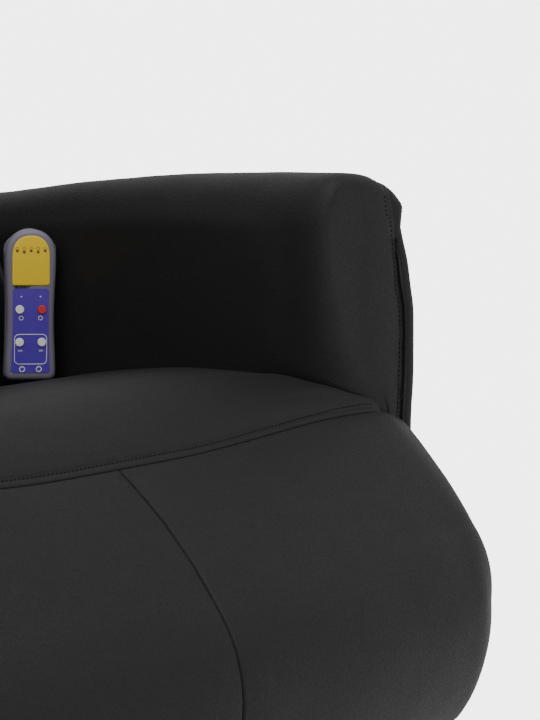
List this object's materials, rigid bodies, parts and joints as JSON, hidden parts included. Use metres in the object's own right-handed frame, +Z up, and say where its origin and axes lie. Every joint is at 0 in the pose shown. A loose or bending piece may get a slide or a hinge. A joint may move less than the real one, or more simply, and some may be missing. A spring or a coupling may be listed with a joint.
{
  "type": "massage chair",
  "caption": "Upholstered reclining massage armchair with padded arms, crowned seat, full-width leg rest, reclining backrest, motor drive and a hand control standing beside the seat.",
  "frame": {"origin": "on the floor, under the middle of the chair's overall width and depth at rest", "axes": "+X to the right seen from the front, +Y to the back, +Z up"},
  "size_m": [0.79, 0.9203, 0.9799],
  "materials": {
    "dark_leather": "satin grained",
    "black_steel": "satin",
    "plywood": "raw",
    "webbing": "woven",
    "black_plastic": "textured",
    "zinc_steel": "zinc plated",
    "nylon": "smooth",
    "cast_alloy": "as cast",
    "grey_case": "satin",
    "yellow_panel": "satin",
    "indigo_panel": "satin",
    "light_lens": "clear tinted",
    "circuit_board": "satin",
    "red_button": "satin",
    "white_button": "satin"
  },
  "bodies": {
    "chair": {"arm_left": "dark_leather", "arm_right": "dark_leather", "arm_panel_left": "dark_leather", "arm_panel_right": "dark_leather", "seat_cushion": "dark_leather", "seat_plate_left": "black_steel", "seat_plate_right": "black_steel", "seat_tubes": "black_steel", "drive_bars": "black_steel", "side_frame_left": "plywood", "side_frame_right": "plywood", "base_rails": "plywood", "seat_webbing": "webbing", "feet": "black_plastic", "control_box": "black_plastic", "control_box_lid": "black_plastic", "power_inlet": "black_plastic", "seat_motor_cups": "black_plastic", "frame_bolts": "zinc_steel", "pivot_bolts": "zinc_steel", "box_screws": "zinc_steel", "drive_housing": "cast_alloy", "leg_drive_motor": "cast_alloy", "back_drive_motor": "cast_alloy", "seat_motors": "cast_alloy"},
    "legrest": {"legrest_pad": "dark_leather", "legrest_board": "plywood", "legrest_tube": "black_steel", "legrest_bushes": "nylon", "legrest_brackets": "black_steel", "legrest_crank": "black_steel"},
    "backrest": {"back_cushion": "dark_leather", "back_panel": "dark_leather", "back_posts": "plywood", "back_rails": "plywood", "back_webbing": "webbing", "back_brackets": "black_steel", "back_tube": "black_steel", "back_bushes": "nylon", "back_crank": "black_steel", "back_motor_cups": "black_plastic", "back_motors": "cast_alloy"},
    "leg_carriage": {"leg_carriage": "zinc_steel"},
    "back_carriage": {"back_carriage": "zinc_steel"},
    "seat_weight_left": {"seat_weight_left": "zinc_steel"},
    "seat_weight_right": {"seat_weight_right": "zinc_steel"},
    "lumbar_weight": {"lumbar_weight": "zinc_steel"},
    "shoulder_weight": {"shoulder_weight": "zinc_steel"},
    "hand_control": {"control_case_front": "grey_case", "control_case_back": "grey_case", "control_upper_panel": "yellow_panel", "control_lower_panel": "indigo_panel", "control_lights": "light_lens", "control_board": "circuit_board", "control_screws": "zinc_steel"},
    "power_button": {"power_button": "red_button"},
    "massage_button": {"massage_button": "white_button"},
    "back_button": {"back_button": "white_button"},
    "leg_button": {"leg_button": "white_button"}
  },
  "joints": [
    {"name": "leg_raise", "type": "hinge", "parent": "chair", "child": "legrest", "pos_m": [0, -0.3, 0.415], "axis": [-1, 0, 0], "range_deg": [0, 45]},
    {"name": "back_recline", "type": "hinge", "parent": "chair", "child": "backrest", "pos_m": [0, 0.185, 0.385], "axis": [-1, 0, 0], "range_deg": [0, 35]},
    {"name": "leg_carriage_slide", "type": "slide", "parent": "chair", "child": "leg_carriage", "axis": [0, -1, 0], "range_m": [0, 0.0842]},
    {"name": "back_carriage_slide", "type": "slide", "parent": "chair", "child": "back_carriage", "axis": [0, -1, 0], "range_m": [0, 0.0662]},
    {"name": "seat_weight_left_spin", "type": "hinge", "parent": "chair", "child": "seat_weight_left", "pos_m": [-0.11, 0.06226, 0.35931], "axis": [1, 0, 0], "continuous": true},
    {"name": "seat_weight_right_spin", "type": "hinge", "parent": "chair", "child": "seat_weight_right", "pos_m": [0.11, 0.06226, 0.35931], "axis": [1, 0, 0], "continuous": true},
    {"name": "lumbar_weight_spin", "type": "hinge", "parent": "backrest", "child": "lumbar_weight", "pos_m": [0, 0.24552, 0.50202], "axis": [1, 0, 0], "continuous": true},
    {"name": "shoulder_weight_spin", "type": "hinge", "parent": "backrest", "child": "shoulder_weight", "pos_m": [0, 0.30424, 0.68273], "axis": [1, 0, 0], "continuous": true},
    {"name": "control_lift", "type": "slide", "parent": "chair", "child": "hand_control", "axis": [0, 0, 1], "range_m": [0, 0.12]},
    {"name": "power_press", "type": "slide", "parent": "hand_control", "child": "power_button", "axis": [0.5292, 0.8469, -0.0523], "range_m": [0, 0.0008], "stiffness_N_per_m": 1200},
    {"name": "massage_press", "type": "slide", "parent": "hand_control", "child": "massage_button", "axis": [0.5292, 0.8469, -0.0523], "range_m": [0, 0.0008], "stiffness_N_per_m": 1200},
    {"name": "back_press", "type": "slide", "parent": "hand_control", "child": "back_button", "axis": [0.5292, 0.8469, -0.0523], "range_m": [0, 0.0008], "stiffness_N_per_m": 1200},
    {"name": "leg_press", "type": "slide", "parent": "hand_control", "child": "leg_button", "axis": [0.5292, 0.8469, -0.0523], "range_m": [0, 0.0008], "stiffness_N_per_m": 1200}
  ],
  "couplings": [
    {"joint": "leg_carriage_slide", "follows": "leg_raise", "m_per_rad": 0.10719},
    {"joint": "back_carriage_slide", "follows": "back_recline", "m_per_rad": 0.1083}
  ]
}
